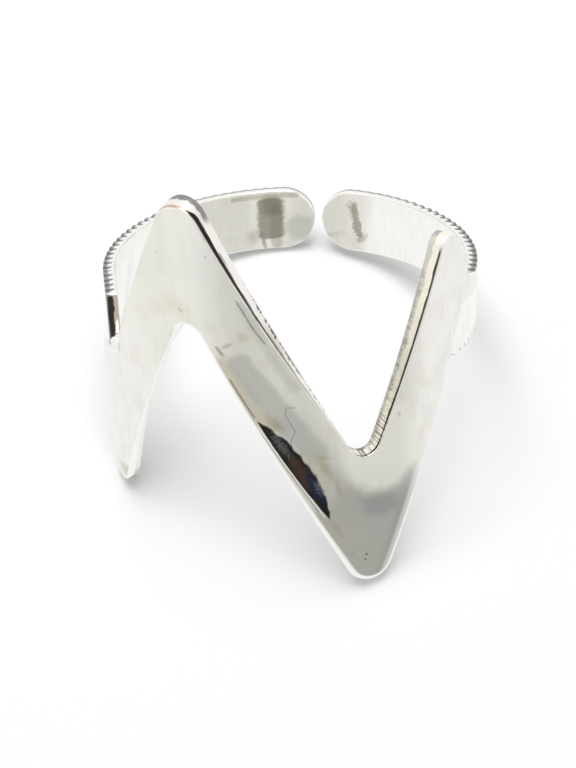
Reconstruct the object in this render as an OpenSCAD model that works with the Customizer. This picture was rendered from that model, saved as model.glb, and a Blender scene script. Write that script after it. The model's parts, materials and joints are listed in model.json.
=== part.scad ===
// Open letter ring, lying on a table as it rests by itself.
// A flat zigzag letter is bent round the front of the finger and soldered to two
// reeded band arms, whose rounded ends stop just short of each other at the back.
// A place on the ring is given as [round, height] in millimetres: round runs along
// the letter's outer face from the front of the ring towards its right, and height
// runs along the finger from the middle of the band. Angles run the same way round.

/* [Band] */
// Inner diameter of the finger hole
bore_d = 18; // [16:0.1:19]
// Width of the band along the finger
band_w = 3.5; // [3:0.1:4]
// Thickness of the band's metal
band_t = 0.6; // [0.5:0.05:0.7]
// Opening between the two rounded ends
gap_w = 0.45; // [0.3:0.05:3]
// Where the middle of that opening lies, in degrees from the front
gap_at = 169.2; // [160:0.1:185]

/* [Front ends of the arms] */
// Where the right arm ends inside the letter's right leg, in degrees
right_front_at = 50; // [46:1:51]
// Where the right arm's lower edge begins to lift towards the leg, in degrees
right_lift_at = 60; // [57:1:62]
// Rounding of that lift
right_lift_r = 1.6; // [1:0.1:2]
// Where the left arm leaves the round and runs straight on, in degrees
left_run_at = -83; // [-84:0.5:-82]
// Length of the left arm's straight run along its upper edge
left_run = 2.85; // [2.8:0.05:3]
// How much further the left run would reach along its lower edge, but for its filed corner
left_run_slant = 0.35; // [0.3:0.05:0.5]
// Length that the file takes off the left run's lower front corner
left_filed_length = 1.0; // [0.8:0.1:1.1]
// Height that it takes off there
left_filed_height = 1.2; // [1:0.1:1.3]

/* [Reeding] */
// Distance between two grooves along the band's edges
reed_pitch = 0.6; // [0.5:0.05:1]
// Depth of a groove at the band's outer face
reed_depth = 0.19; // [0.1:0.01:0.19]
// How far a groove leans from square to the band, so that it runs out before the inner face
reed_lean = 22; // [20:1:30]
// Radius of a groove's rounded bottom
reed_r = 0.2; // [0.15:0.05:0.25]

/* [Letter] */
// Thickness of the letter's plate
plate_t = 0.9; // [0.8:0.05:1]
// Sharp corner of the left leg's foot on its outer side: its round
foot_outer_round = -13.1; // [-13.6:0.1:-12.8]
// The height of that corner
foot_outer_height = -9.0; // [-9.3:0.1:-8.5]
// Sharp corner of the left leg's foot on its inner side: its round
foot_inner_round = -11.0; // [-11.2:0.1:-10.7]
// The height of that corner
foot_inner_height = -8.9; // [-9.3:0.1:-8.5]
// Sharp corner where the left leg bulges out under the left arm: its round
hip_round = -14.1; // [-14.3:0.1:-13.8]
// The height of that corner
hip_height = -2.2; // [-2.5:0.1:-2]
// Sharp corner between that bulge and the upper part of the left leg: its round
waist_round = -10.4; // [-10.6:0.1:-10.2]
// The height of that corner
waist_height = 0.1; // [0:0.1:0.4]
// Sharp corner of the left peak: its round
peak_round = -5.6; // [-6:0.1:-5.2]
// The height of that corner
peak_height = 9.4; // [8.8:0.1:10]
// Sharp corner between the left leg and the diagonal: its round
notch_under_round = -5.3; // [-5.5:0.1:-5.1]
// The height of that corner
notch_under_height = 3.0; // [2.7:0.1:3.3]
// Sharp corner between the diagonal and the right leg: its round
notch_over_round = 3.5; // [3.2:0.1:3.8]
// The height of that corner
notch_over_height = -5.9; // [-6.3:0.1:-5.5]
// Sharp corner of the toe, where the diagonal meets the right leg: its round
toe_round = 3.9; // [3.5:0.1:4.3]
// The height of that corner
toe_height = -14.2; // [-14.6:0.1:-13.6]
// Sharp corner of the right leg's head on its inner side: its round
head_inner_round = 8.5; // [8.2:0.1:8.8]
// The height of that corner
head_inner_height = 5.9; // [5.5:0.1:6.3]
// Sharp corner of the right leg's head on its outer side: its round
head_outer_round = 10.7; // [10.4:0.1:11]
// The height of that corner
head_outer_height = 3.3; // [3:0.1:3.6]
// How far the wall on the left leg's inner side leans in under its face
leg_undercut = 0.75; // [0:0.05:0.8]
// How far the peak stands higher on the side of the finger than on its face
peak_burr = 0.35; // [0:0.05:0.4]
// Rounding of the foot's corners
foot_r = 0.9; // [0.5:0.1:0.9]
// Rounding of the bulge
hip_r = 1; // [0.5:0.1:1.5]
// Rounding of the corner above the bulge
waist_r = 0.3; // [0.2:0.05:0.5]
// Rounding of the peak and the toe
tip_r = 1.35; // [0.8:0.05:1.6]
// Rounding of both notches
notch_r = 0.8; // [0.3:0.05:1]
// Rounding of the head's inner corner
head_inner_r = 0.7; // [0.3:0.05:1]
// Rounding of the head's outer corner
head_outer_r = 0.3; // [0.1:0.05:0.5]

/* [Solder] */
// Where the head's solder starts, inside the head: its round
head_solder_from_round = 9.9; // [9.7:0.1:10.1]
// The height of its top there
head_solder_from_height = 4.0; // [3.7:0.1:4.2]
// Where it runs out on the band's upper edge: its round
head_solder_to_round = 12.4; // [12.1:0.1:12.8]
// The height of its top there
head_solder_to_height = 1.6; // [1.4:0.1:1.7]
// Lowest height of the head's solder
head_solder_low = 0.9; // [0.5:0.1:1.2]
// How far it stands proud of the band
head_solder_proud = 0.15; // [0.1:0.05:0.2]
// Where the solder under the left arm's tip starts, behind the letter's leg: its round
tip_solder_from_round = -12.7; // [-13:0.1:-12.5]
// The height of its top there
tip_solder_from_height = -1.0; // [-1.2:0.1:-0.8]
// Its lowest height there
tip_solder_from_low = -1.9; // [-2.2:0.1:-1.8]
// Where it runs out at the tip: its round
tip_solder_to_round = -10.4; // [-10.6:0.1:-10.3]
// The height of its top there
tip_solder_to_height = -0.1; // [-0.2:0.1:0]
// Its lowest height there
tip_solder_to_low = -1.2; // [-1.4:0.1:-1]
// How far it stands proud of the plate
tip_solder_proud = 0.12; // [0.1:0.01:0.2]

/* [Hidden] */
$fn = 96;

bore_r = bore_d / 2;
band_r = bore_r + band_t;
plate_r = bore_r + plate_t;

// A blank of an arm, and one of the letter, reaches this far past the round face that cuts it
overcut = 0.8;
skin = 0.3;
// Steps of a rounded corner, and of a straight stretch between two corners
arc_steps = 8;
edge_steps = 10;
// Steps of a run of solder along the round
solder_steps = 4;
// Length of the stretch that stands in for a corner on a side that runs straight past it
pass = 0.8;
// The left arm's round and its straight run share this much metal on either side of their meeting
seam = 0.1;
// Rounded ends bulge this much wider than the band, so that no rounding is tangent to an edge
bulge = 0.05;
end_r = band_w / 2 + bulge;
// The angle that a length takes up round the bore, and the angle of one groove and the next
function bore_deg(length) = length * 180 / (PI * bore_r);
reed_deg = reed_pitch * 180 / (PI * band_r);
// Where the arms end at the back, and where the rounding of each end has its centre
right_end_at = gap_at - bore_deg(gap_w / 2);
left_end_at = gap_at + bore_deg(gap_w / 2) - 360;
right_round_at = right_end_at - bore_deg(end_r);
left_round_at = left_end_at + bore_deg(end_r);

// Corners of the letter as places, and the ends of the solder's upper side
foot_outer = [foot_outer_round, foot_outer_height];
foot_inner = [foot_inner_round, foot_inner_height];
hip = [hip_round, hip_height];
waist = [waist_round, waist_height];
peak = [peak_round, peak_height];
notch_under = [notch_under_round, notch_under_height];
notch_over = [notch_over_round, notch_over_height];
toe = [toe_round, toe_height];
head_inner = [head_inner_round, head_inner_height];
head_outer = [head_outer_round, head_outer_height];
head_solder_from = [head_solder_from_round, head_solder_from_height];
head_solder_to = [head_solder_to_round, head_solder_to_height];
tip_solder_from = [tip_solder_from_round, tip_solder_from_height];
tip_solder_to = [tip_solder_to_round, tip_solder_to_height];

function unit(v) = v / norm(v);

function between(a, b, t) = a + (b - a) * t;

// Corners of the letter, one row for each turn of the stroke from the foot to the head:
// [upper corner, its rounding, lower corner, its rounding, lean of the upper wall, of the lower wall]
// A lean is how far the wall's edge at the finger lies from its edge at the face, and a side
// with no rounding runs straight past its place.
turns = [
    [foot_outer, foot_r, foot_inner, foot_r, [0, 0], [-0.6 * leg_undercut, 0]],
    [hip, hip_r, between(foot_inner, notch_under, 0.45), 0, [0, 0], [-leg_undercut, 0]],
    [waist, waist_r, between(foot_inner, notch_under, 0.75), 0, [0, 0], [-0.55 * leg_undercut, 0]],
    [peak, tip_r, notch_under, notch_r, [0, peak_burr], [0, 0]],
    [notch_over, notch_r, toe, tip_r, [0, 0], [0, 0]],
    [head_inner, head_inner_r, head_outer, head_outer_r, [0, 0], [0, 0]],
];
UPPER = 0;
LOWER = 2;
LEANS = 4;

// The corner at b on the way from a to c: its rounding as points from one tangent to the other,
// or where r is 0, points along a short straight stretch
function rounded(a, b, c, r) =
    r == 0 ? [for (k = [0:arc_steps]) b + unit(c - a) * pass * (k / arc_steps - 0.5)] :
    let (
        back = unit(a - b),
        ahead = unit(c - b),
        half = acos(back * ahead) / 2,
        centre = b + unit(back + ahead) * r / sin(half),
        start = b + back * r / tan(half) - centre,
        side = sign(cross(back, ahead))
    )
    [for (k = [0:arc_steps])
        let (turn = -side * (180 - 2 * half) * k / arc_steps)
        centre + [start.x * cos(turn) - start.y * sin(turn), start.x * sin(turn) + start.y * cos(turn)]];

// The rounded corner of turn i on one side of the stroke
function corner_arc(i, side) =
    let (last = len(turns) - 1, other = side == UPPER ? LOWER : UPPER)
    rounded(
        i == 0 ? turns[0][other] : turns[i - 1][side],
        turns[i][side],
        i == last ? turns[last][other] : turns[i + 1][side],
        turns[i][side + 1]
    );

// The rows of turn i, each one [upper place, lower place, lean of the upper wall, of the lower wall]
function turn_rows(i) =
    let (upper = corner_arc(i, UPPER), lower = corner_arc(i, LOWER))
    [for (k = [0:arc_steps]) [upper[k], lower[k], turns[i][LEANS], turns[i][LEANS + 1]]];

// The letter as rows across its stroke
letter_rows = [
    for (i = [0:len(turns) - 1])
        let (rows = turn_rows(i))
        each concat(
            rows,
            i == len(turns) - 1 ? [] :
                [for (k = [1:edge_steps - 1]) between(rows[arc_steps], turn_rows(i + 1)[0], k / edge_steps)]
        )
];

// A row's place on one side, bent round the finger at radius r
function wrapped(row, side, r) =
    let (
        place = row[side] + row[side + 2] * (plate_r - r) / plate_t,
        angle = place.x * 180 / (PI * plate_r)
    )
    [r * sin(angle), -r * cos(angle), place.y];

// A blank between radii r_in and r_out, whose outline follows the rows
module bent_blank(rows, r_in, r_out) {
    last = 4 * (len(rows) - 1);
    points = [for (row = rows)
        each [wrapped(row, 0, r_in), wrapped(row, 0, r_out), wrapped(row, 1, r_out), wrapped(row, 1, r_in)]];
    sides = [for (a = [0:4:last - 4], k = [0:3])
        let (near = a + k, next = a + (k + 1) % 4)
        each [[near, near + 4, next], [next, near + 4, next + 4]]];
    ends = [[0, 2, 3], [0, 1, 2], [last, last + 2, last + 1], [last, last + 3, last + 2]];
    polyhedron(points = points, faces = concat(sides, ends));
}

module round_blank(r) cylinder(r = r, h = 3 * bore_d, center = true);

// Local axes at an angle on the round: x runs on round the band, y up the finger, z outwards
module at_round(angle) rotate([90, 0, angle]) children();

// The band between two angles, seen along the finger
module band_top(from, to, r_in)
    intersection() {
        difference() {
            circle(r = band_r);
            circle(r = r_in);
        }
        polygon([
            [0, 0],
            for (k = [0:4])
                let (angle = between(from, to, k / 4))
                bore_d * [sin(angle), -cos(angle)]
        ]);
    }

// What the rounding takes off an arm's back end: way is 1 where the arm runs on, -1 where it comes from
module end_offcut(centre_at, way)
    at_round(centre_at)
        difference() {
            translate([way > 0 ? 0 : -2 * end_r, -band_w, bore_r - 2 * overcut])
                cube([2 * end_r, 2 * band_w, 4 * overcut]);
            cylinder(r = end_r, h = 2 * bore_r);
        }

// What the lift takes off the lower front corner of the right arm
module lift_offcut()
    at_round(right_lift_at)
        translate([0, right_lift_r - bulge - band_w / 2, 0])
            difference() {
                translate([-2 * right_lift_r, -2 * right_lift_r, bore_r - 2 * overcut])
                    cube([2 * right_lift_r, 2 * right_lift_r, 4 * overcut]);
                cylinder(r = right_lift_r, h = 2 * bore_r);
            }

// What the slanted front end takes off the left run
module slant_offcut()
    at_round(left_run_at)
        translate([left_run, band_w / 2, bore_r - overcut])
            rotate([0, 0, atan2(left_run_slant, band_w)])
                translate([0, -2 * band_w, 0])
                    cube([band_w, 3 * band_w, 2 * overcut + band_t]);

// What the file takes off the lower front corner of the left run
module filed_offcut()
    at_round(left_run_at)
        translate([left_run + left_run_slant - left_filed_length, -band_w / 2, bore_r - overcut])
            rotate([0, 0, atan2(left_filed_height, left_filed_length)])
                translate([-band_w, -band_w, 0])
                    cube([2 * band_w, band_w, 2 * overcut + band_t]);

// One groove across the outer corner of both edges of the band
module reed()
    for (edge = [-1, 1])
        translate([0, edge * (band_w / 2 + reed_r - reed_depth), band_r])
            rotate([edge * reed_lean, 0, 0])
                cylinder(r = reed_r, h = 2 * plate_t, center = true);

module reeds_round(from, to)
    for (angle = [from:reed_deg:to])
        at_round(angle) reed();

// Solder in a straight run from a place to one further right, each with its lowest height, up to radius r
module solder_blank(from, from_low, to, to_low, r) {
    first_row = [from, [from.x, from_low], [0, 0], [0, 0]];
    last_row = [to, [to.x, to_low], [0, 0], [0, 0]];
    intersection() {
        bent_blank(
            [for (k = [0:solder_steps]) between(first_row, last_row, k / solder_steps)],
            bore_r - skin, plate_r + skin
        );
        round_blank(r);
    }
}

// The letter, with the solder that carries its head down to the band's upper edge and the
// solder that closes the left arm's tip
module letter_blank() {
    intersection() {
        bent_blank(letter_rows, bore_r - skin, plate_r + skin);
        round_blank(plate_r);
    }
    solder_blank(
        head_solder_from, head_solder_low, head_solder_to, head_solder_low,
        band_r + head_solder_proud
    );
    solder_blank(
        tip_solder_from, tip_solder_from_low, tip_solder_to, tip_solder_to_low,
        plate_r + tip_solder_proud
    );
}

module right_arm_blank()
    difference() {
        linear_extrude(band_w, center = true)
            band_top(right_front_at, right_end_at, bore_r - overcut);
        lift_offcut();
        end_offcut(right_round_at, 1);
        reeds_round(right_lift_at, right_round_at);
    }

module left_arm()
    difference() {
        linear_extrude(band_w, center = true) {
            band_top(left_end_at, left_run_at, bore_r);
            rotate(left_run_at) {
                translate([0, -band_r])
                    square([left_run + left_run_slant, band_t]);
                translate([-seam, -band_r + band_t / 4])
                    square([2 * seam, band_t / 2]);
            }
        }
        end_offcut(left_round_at, -1);
        slant_offcut();
        filed_offcut();
        reeds_round(left_round_at, left_run_at);
        for (x = [reed_pitch:reed_pitch:left_run - reed_pitch / 2])
            at_round(left_run_at) translate([x, 0, 0]) reed();
    }

// The ring upright on the finger's axis
module upright_ring() {
    difference() {
        union() {
            letter_blank();
            right_arm_blank();
        }
        round_blank(bore_r);
    }
    left_arm();
}

// Places where the ring can touch the table: round the foot, the toe and the band's lower edge
corner_radii = [bore_r, plate_r];
toe_turn = len(turns) - 2;
foot_places = [for (row = turn_rows(0), side = [0, 1], r = corner_radii) wrapped(row, side, r)];
toe_places = [for (row = turn_rows(toe_turn), r = corner_radii) wrapped(row, 1, r)];
band_places = [
    for (span = [[right_lift_at, right_round_at], [left_round_at, left_run_at]], angle = [span[0]:span[1]])
        [band_r * sin(angle), -band_r * cos(angle), -band_w / 2]
];

// The place that reaches lowest when up is the table's upward direction
function lowest(places, up) =
    let (heights = [for (p = places) p * up], low = min(heights))
    [for (k = [0:len(places) - 1]) if (heights[k] == low) places[k]][0];

// The table's upward direction, from the three places that reach lowest, found again each round
function table_up(up, rounds) =
    rounds == 0 ? up :
    let (
        a = lowest(foot_places, up),
        b = lowest(toe_places, up),
        c = lowest(band_places, up),
        across = unit(cross(b - a, c - a))
    )
    table_up(across * sign(across.z), rounds - 1);

up = table_up([0, -0.5, 0.87], 8);
lean_x = atan2(up.y, up.z);
lean_y = atan2(-up.x, norm([up.y, up.z]));

module ring()
    color("silver")
        rotate([lean_x, lean_y, 0])
            upright_ring();

ring();
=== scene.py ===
"""The looks of an open silver letter ring that lies on a pale table.

The ring is a zigzag plate bent round the front of the finger, soldered to two band arms with
reeded edges. A place on it is (round, height) in millimetres, as in the part's source: round
runs along a sheet's reference radius from the front towards the ring's right, height runs
along the finger from the middle of the band, and depth goes from a sheet's outer face inwards.
"""

from __future__ import annotations

import json
import logging
import math
from dataclasses import dataclass, field
from enum import Enum
from functools import partial, reduce

import bmesh
import bpy
import numpy as np
from mathutils import Matrix, Vector

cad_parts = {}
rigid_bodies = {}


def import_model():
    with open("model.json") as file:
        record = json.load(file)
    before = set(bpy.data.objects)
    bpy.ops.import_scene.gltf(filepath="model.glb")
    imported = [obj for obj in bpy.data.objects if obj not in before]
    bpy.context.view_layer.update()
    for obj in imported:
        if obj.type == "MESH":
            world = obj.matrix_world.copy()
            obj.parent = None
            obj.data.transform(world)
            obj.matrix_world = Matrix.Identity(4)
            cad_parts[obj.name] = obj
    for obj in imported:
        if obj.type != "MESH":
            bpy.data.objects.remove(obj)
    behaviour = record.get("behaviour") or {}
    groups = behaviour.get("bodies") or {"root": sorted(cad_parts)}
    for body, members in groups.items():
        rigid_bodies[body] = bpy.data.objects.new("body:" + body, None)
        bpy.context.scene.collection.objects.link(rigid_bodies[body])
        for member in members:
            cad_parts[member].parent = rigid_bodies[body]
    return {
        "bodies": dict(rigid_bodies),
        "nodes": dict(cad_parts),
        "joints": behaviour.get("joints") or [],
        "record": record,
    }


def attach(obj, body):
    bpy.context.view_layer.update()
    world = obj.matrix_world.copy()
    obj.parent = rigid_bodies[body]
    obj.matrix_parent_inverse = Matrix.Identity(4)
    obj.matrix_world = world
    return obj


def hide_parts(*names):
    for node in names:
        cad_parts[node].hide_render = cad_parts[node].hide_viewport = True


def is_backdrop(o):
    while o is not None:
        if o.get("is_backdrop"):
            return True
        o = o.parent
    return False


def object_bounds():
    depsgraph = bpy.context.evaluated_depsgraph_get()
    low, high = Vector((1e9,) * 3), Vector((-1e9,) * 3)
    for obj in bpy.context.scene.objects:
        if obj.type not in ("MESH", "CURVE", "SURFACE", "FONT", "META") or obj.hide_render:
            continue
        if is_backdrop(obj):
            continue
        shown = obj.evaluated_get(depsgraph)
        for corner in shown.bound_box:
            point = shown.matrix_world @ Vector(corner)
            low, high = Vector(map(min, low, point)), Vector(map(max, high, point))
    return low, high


log = logging.getLogger("letter_ring")

MM = 0.001
NODE = "ring"
BODY = "root"
MOUNT = "finger_bore"

# Points closer than this are one, in millimetres on a sheet and in metres in a mesh
SAME_PLACE = 1e-6
SAME_POINT = 2e-7
NO_LENGTH = 1e-8

# What noise swings round
NOISE_MIDDLE = 0.5
# A mark with a smaller half size than this has an edge as fine as the finest wear
SMALL_MARK = 0.3
# Where, round the ring, the diagonal's saw marks give way to the right leg's
LEG_BEGINS = (3.0, 4.2)
# How many millimetres a wall's look takes to change where its far edge darkens
HEAD_FADE = 0.5
# Before every place on the ring and below every height
BELOW_ALL = -99.0

Place = tuple[float, float]
Span = tuple[float, float]
Colour = tuple[float, float, float]


class Side(Enum):
    """The two long sides of a sheet, seen with its stroke running away from the viewer."""

    UPPER = 1.0
    LOWER = -1.0


@dataclass(frozen=True)
class RingSizes:
    """Sizes of the ring in millimetres and degrees, the driving ones the same as in its source."""

    bore_r: float
    band_w: float = 3.5
    band_t: float = 0.6
    gap_w: float = 0.45
    gap_at: float = 169.2
    right_front_at: float = 50.0
    right_lift_at: float = 60.0
    right_lift_r: float = 1.6
    right_lift_slack: float = 0.05
    right_corner_r: float = 0.1
    left_run_at: float = -83.0
    left_run: float = 2.85
    left_run_slant: float = 0.35
    left_filed: Place = (1.0, 1.2)
    left_nose: float = 0.88
    left_corner_r: float = 0.15
    left_nose_r: float = 0.12
    left_soft: float = 0.12
    reed_pitch: float = 0.6
    reed_depth: float = 0.19
    reed_lean: float = 22.0
    reed_r: float = 0.2
    stroke_width: Span = (0.07, 0.16)
    stroke_depth: Span = (0.38, 0.54)
    stroke_share: float = 0.5
    plate_t: float = 0.9
    head_solder_proud: float = 0.15
    tip_solder_proud: float = 0.12

    @property
    def band_r(self) -> float:
        """Outer radius of the band."""
        return self.bore_r + self.band_t

    @property
    def plate_r(self) -> float:
        """Outer radius of the letter's plate."""
        return self.bore_r + self.plate_t

    @property
    def right_end(self) -> float:
        """Where the right arm ends at the back, as a length round the bore."""
        return math.radians(self.gap_at) * self.bore_r - self.gap_w / 2

    @property
    def left_end(self) -> float:
        """Where the left arm ends at the back, as a length round the bore."""
        return math.radians(self.gap_at - 360) * self.bore_r + self.gap_w / 2


@dataclass(frozen=True)
class Lean:
    """How the ring leans as it rests on the table, and the finger's axis that comes of it."""

    axis: Vector

    @property
    def turn(self) -> Matrix:
        """The turn from the upright ring to the resting one."""
        lean_x, lean_y = math.asin(-self.axis.y), math.atan2(self.axis.x, self.axis.z)
        return Matrix.Rotation(lean_y, 3, "Y") @ Matrix.Rotation(lean_x, 3, "X")

    def place(self, upright: np.ndarray) -> np.ndarray:
        """Turn upright points in millimetres into resting points in metres.

        Args:
            upright: Points as an array of shape (n, 3).

        Returns:
            The points at rest, in metres.
        """
        return upright @ np.array(self.turn).T * MM


@dataclass(frozen=True)
class Bend:
    """The round that a flat sheet is bent to, with a straight run past one place if it has one."""

    reference_r: float
    run_from: float = math.inf

    def upright(self, rounds: np.ndarray, heights: np.ndarray, radii: np.ndarray) -> np.ndarray:
        """Bend places on the flat sheet round the finger.

        Args:
            rounds: Lengths along the reference radius, in millimetres.
            heights: Heights along the finger.
            radii: Distances from the finger's axis.

        Returns:
            The points of the upright ring, of shape (n, 3).
        """
        angles = np.minimum(rounds, self.run_from) / self.reference_r
        run = np.maximum(rounds - self.run_from, 0) if math.isfinite(self.run_from) else 0 * rounds
        return np.stack([
            radii * np.sin(angles) + run * np.cos(angles),
            -radii * np.cos(angles) + run * np.sin(angles),
            heights,
        ], axis=-1)


@dataclass(frozen=True)
class Edge:
    """One side of a sheet at a turn of its stroke."""

    corner: Place
    rounding: float
    soft: float = 0.08
    lean: Place = (0.0, 0.0)
    sawn: float = 0.0


@dataclass(frozen=True)
class Turn:
    """A turn of a sheet's stroke: its corner on either side."""

    upper: Edge
    lower: Edge


@dataclass
class Line:
    """One side of a sheet as arrays, with a row for each step along the stroke."""

    points: np.ndarray
    outward: np.ndarray
    soft: np.ndarray
    lean: np.ndarray
    sawn: np.ndarray


@dataclass
class Sheet:
    """A flat sheet cut along its turns and bent round the finger, as one closed mesh."""

    turns: list[Turn]
    bend: Bend
    inner_r: float
    outer_r: float
    step: float = 0.35
    fewest_steps: int = 3
    arc_steps: int = 14
    across: int = 12
    bevel_steps: int = 5
    wall_steps: int = 5
    pass_length: float = 0.8
    support: float = 0.05
    end_sawn: float = 0.0

    @property
    def thickness(self) -> float:
        """Thickness of the sheet."""
        return self.outer_r - self.inner_r

    def corner(self, a: Place, b: Place, c: Place, r: float) -> tuple[np.ndarray, np.ndarray]:
        """Round the corner at b on the way from a to c.

        Args:
            a: The corner before.
            b: The corner to round.
            c: The corner after.
            r: Its rounding, or 0 for a side that runs straight past b.

        Returns:
            The points from one tangent to the other, and the unit vectors left of the way.
        """
        a, b, c = (np.array(p, float) for p in (a, b, c))
        shares = np.linspace(0, 1, self.arc_steps + 1)[:, None]
        if r == 0:
            along = (c - a) / np.linalg.norm(c - a)
            left = np.array([-along[1], along[0]])
            return b + along * self.pass_length * (shares - 0.5), np.repeat(left[None], len(shares), 0)
        back = (a - b) / np.linalg.norm(a - b)
        ahead = (c - b) / np.linalg.norm(c - b)
        half = math.acos(float(np.clip(back @ ahead, -1, 1))) / 2
        middle = (back + ahead) / np.linalg.norm(back + ahead)
        centre = b + middle * r / math.sin(half)
        start = b + back * r / math.tan(half) - centre
        way = -np.sign(back[0] * ahead[1] - back[1] * ahead[0])
        turns = way * (math.pi - 2 * half) * shares[:, 0]
        spin = np.stack([np.cos(turns), -np.sin(turns), np.sin(turns), np.cos(turns)], -1)
        spin = spin.reshape(-1, 2, 2)
        return centre + spin @ start, spin @ np.array([back[1], -back[0]])

    def line(self, side: Side) -> Line:
        """Lay out one side of the sheet from its first turn to its last.

        Args:
            side: Which side.

        Returns:
            Its rows.
        """
        mine = [t.upper if side is Side.UPPER else t.lower for t in self.turns]
        other = [t.lower if side is Side.UPPER else t.upper for t in self.turns]
        arcs = []
        for i, edge in enumerate(mine):
            before = other[0] if i == 0 else mine[i - 1]
            after = other[-1] if i == len(mine) - 1 else mine[i + 1]
            arcs.append(self.corner(before.corner, edge.corner, after.corner, edge.rounding))
        shares = [np.full(self.arc_steps + 1, 0.0)]
        points, lefts = [arcs[0][0]], [arcs[0][1]]
        for i in range(1, len(mine)):
            start, end = arcs[i - 1][0][-1], arcs[i][0][0]
            steps = self.stretch_steps(i)
            t = np.linspace(0, 1, steps + 1)[1:-1]
            points += [start + (end - start) * t[:, None], arcs[i][0]]
            along = (end - start) / np.linalg.norm(end - start)
            lefts += [np.repeat([[-along[1], along[0]]], len(t), 0), arcs[i][1]]
            shares += [i - 1 + t, np.full(self.arc_steps + 1, float(i))]
        share = np.concatenate(shares)
        knots = np.arange(len(mine))

        def along_turns(values: list[float]) -> np.ndarray:
            """Spread one value a turn over the rows."""
            return np.interp(share, knots, values)

        return Line(
            np.concatenate(points),
            np.concatenate(lefts) * side.value,
            along_turns([e.soft for e in mine]),
            np.stack([along_turns([e.lean[k] for e in mine]) for k in (0, 1)], -1),
            along_turns([e.sawn for e in mine]),
        )

    def stretch_steps(self, i: int) -> int:
        """Count the steps of the stretch that leads to a turn.

        Args:
            i: Number of the turn.

        Returns:
            Enough steps for the longer side.
        """
        a, b = self.turns[i - 1], self.turns[i]
        longest = max(math.dist(a.upper.corner, b.upper.corner), math.dist(a.lower.corner, b.lower.corner))
        return max(self.fewest_steps, round(longest / self.step))

    def profile(self, line: Line) -> tuple[np.ndarray, np.ndarray, np.ndarray]:
        """Carry a side from the outer face round its soft edges to the inner face.

        Args:
            line: The side to carry round.

        Returns:
            Places of shape (rows, steps, 2), their depths, and how much each lies on the wall.
        """
        bend = np.linspace(0, math.pi / 2, self.bevel_steps + 1)
        soft = line.soft[:, None]
        in_out, deep_out = soft * (1 - np.sin(bend)), soft * (1 - np.cos(bend))
        wall = np.linspace(0, 1, self.wall_steps + 1)[1:-1]
        deep_wall = soft + (self.thickness - 2 * soft) * wall
        depth = np.concatenate([deep_out, deep_wall, self.thickness - deep_out[:, ::-1]], 1)
        inset = np.concatenate([in_out, 0 * deep_wall, in_out[:, ::-1]], 1)
        place = line.points[:, None] - line.outward[:, None] * inset[..., None]
        place = place + line.lean[:, None] * (depth / self.thickness)[..., None]
        turned = np.concatenate([np.sin(bend), np.ones(len(wall)), np.sin(bend)[::-1]])
        return place, depth, np.repeat(turned[None], len(place), 0)

    def fractions(self, width: float) -> np.ndarray:
        """Spread the points across a face, with a close one beside either edge."""
        near = self.support / width
        return np.concatenate([[0], np.linspace(near, 1 - near, self.across - 1), [1]])

    def build(self) -> "Shell":
        """Make the sheet's closed mesh in flat places with depths.

        Returns:
            The shell, with its long sides and both its ends.
        """
        upper, lower = self.line(Side.UPPER), self.line(Side.LOWER)
        up, up_deep, up_wall = self.profile(upper)
        low, low_deep, low_wall = self.profile(lower)
        width = np.linalg.norm(up[:, 0] - low[:, 0], axis=1)
        share = self.fractions(float(np.median(width)))[None, :, None]
        face_out = up[:, :1] * (1 - share) + low[:, :1] * share
        face_in = up[:, -1:] * (1 - share) + low[:, -1:] * share
        flat = np.zeros(face_out.shape[:2])
        up_sawn, low_sawn = up_wall * upper.sawn[:, None], low_wall * lower.sawn[:, None]

        def around(outer: np.ndarray, down: np.ndarray, inner: np.ndarray,
                   back: np.ndarray) -> np.ndarray:
            """Join the outer face, the lower wall, the inner face and the upper wall of each row."""
            return np.concatenate([outer, down[:, 1:-1], inner, back[:, -2:0:-1]], 1)

        shell = Shell(self)
        shell.add_grid(
            around(face_out, low, face_in[:, ::-1], up),
            around(flat, low_deep, flat + self.thickness, up_deep),
            around(flat, low_wall, flat, up_wall),
            around(flat, low_sawn, flat, up_sawn),
            wrap=True,
        )
        for row, way in ((0, 1), (len(up) - 1, -1)):
            if np.linalg.norm(upper.points[row] - lower.points[row]) < SAME_PLACE:
                continue
            t = share[0]
            end = Line(
                upper.points[row] * (1 - t) + lower.points[row] * t,
                np.repeat(upper.outward[row][None], len(t), 0),
                np.full(len(t), upper.soft[row]),
                upper.lean[row] * (1 - t) + lower.lean[row] * t,
                upper.sawn[row] * (1 - t[:, 0]) + lower.sawn[row] * t[:, 0],
            )
            place, depth, wall = self.profile(end)
            marked = wall * np.maximum(end.sawn[:, None], self.end_sawn)
            shell.add_grid(place[::way], depth[::way], wall[::way], marked[::way])
        return shell


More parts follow.
